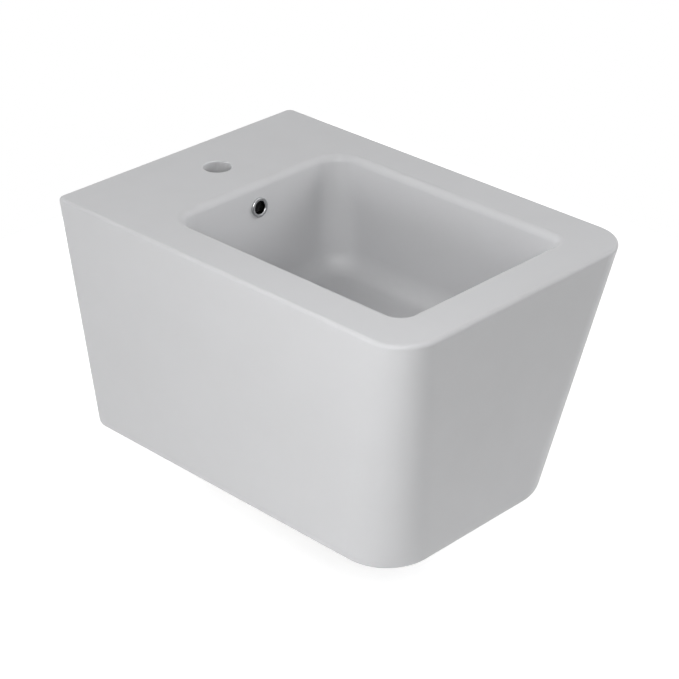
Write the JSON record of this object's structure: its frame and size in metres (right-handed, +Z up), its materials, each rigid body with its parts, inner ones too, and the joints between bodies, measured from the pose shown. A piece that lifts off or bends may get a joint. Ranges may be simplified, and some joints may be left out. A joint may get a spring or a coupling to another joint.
{
  "type": "wall-hung bidet",
  "caption": "Wall-hung ceramic bidet with tapering sides, a rectangular basin, a tap hole, an overflow ring and a push-to-open waste, hung on wall studs.",
  "frame": {"origin": "midway between the two wall studs, on the wall plane", "axes": "+Z up, +Y into the wall, +X to the right of someone facing the bidet's front"},
  "size_m": [0.359, 0.5762, 0.311],
  "materials": {
    "glaze": "satin",
    "chrome": "polished",
    "brass": "machined",
    "black_rubber": "matt",
    "white_plastic": "matt",
    "grey_plastic": "matt",
    "spring_steel": "drawn",
    "zinc_steel": "zinc plated"
  },
  "bodies": {
    "bidet": {"ceramic_body": "glaze", "overflow_ring": "chrome", "overflow_sleeve": "black_rubber", "waste_flange_seal": "black_rubber", "waste_body": "chrome", "waste_cone_seal": "black_rubber", "waste_slip_washer": "white_plastic", "waste_back_nut": "brass", "click_housing": "white_plastic", "click_housing_nut": "brass", "click_spring": "spring_steel", "fixing_studs": "zinc_steel", "fixing_sleeves": "white_plastic", "fixing_washers": "zinc_steel", "fixing_nuts": "zinc_steel"},
    "plug": {"plug_cap": "chrome", "plug_seal": "black_rubber", "plug_stem": "brass", "plug_stem_nut": "brass", "click_plunger": "grey_plastic"}
  },
  "joints": [
    {"name": "plug_lift", "type": "slide", "parent": "bidet", "child": "plug", "axis": [0, 0, 1], "range_m": [0, 0.01], "deforming": ["click_spring"]}
  ]
}
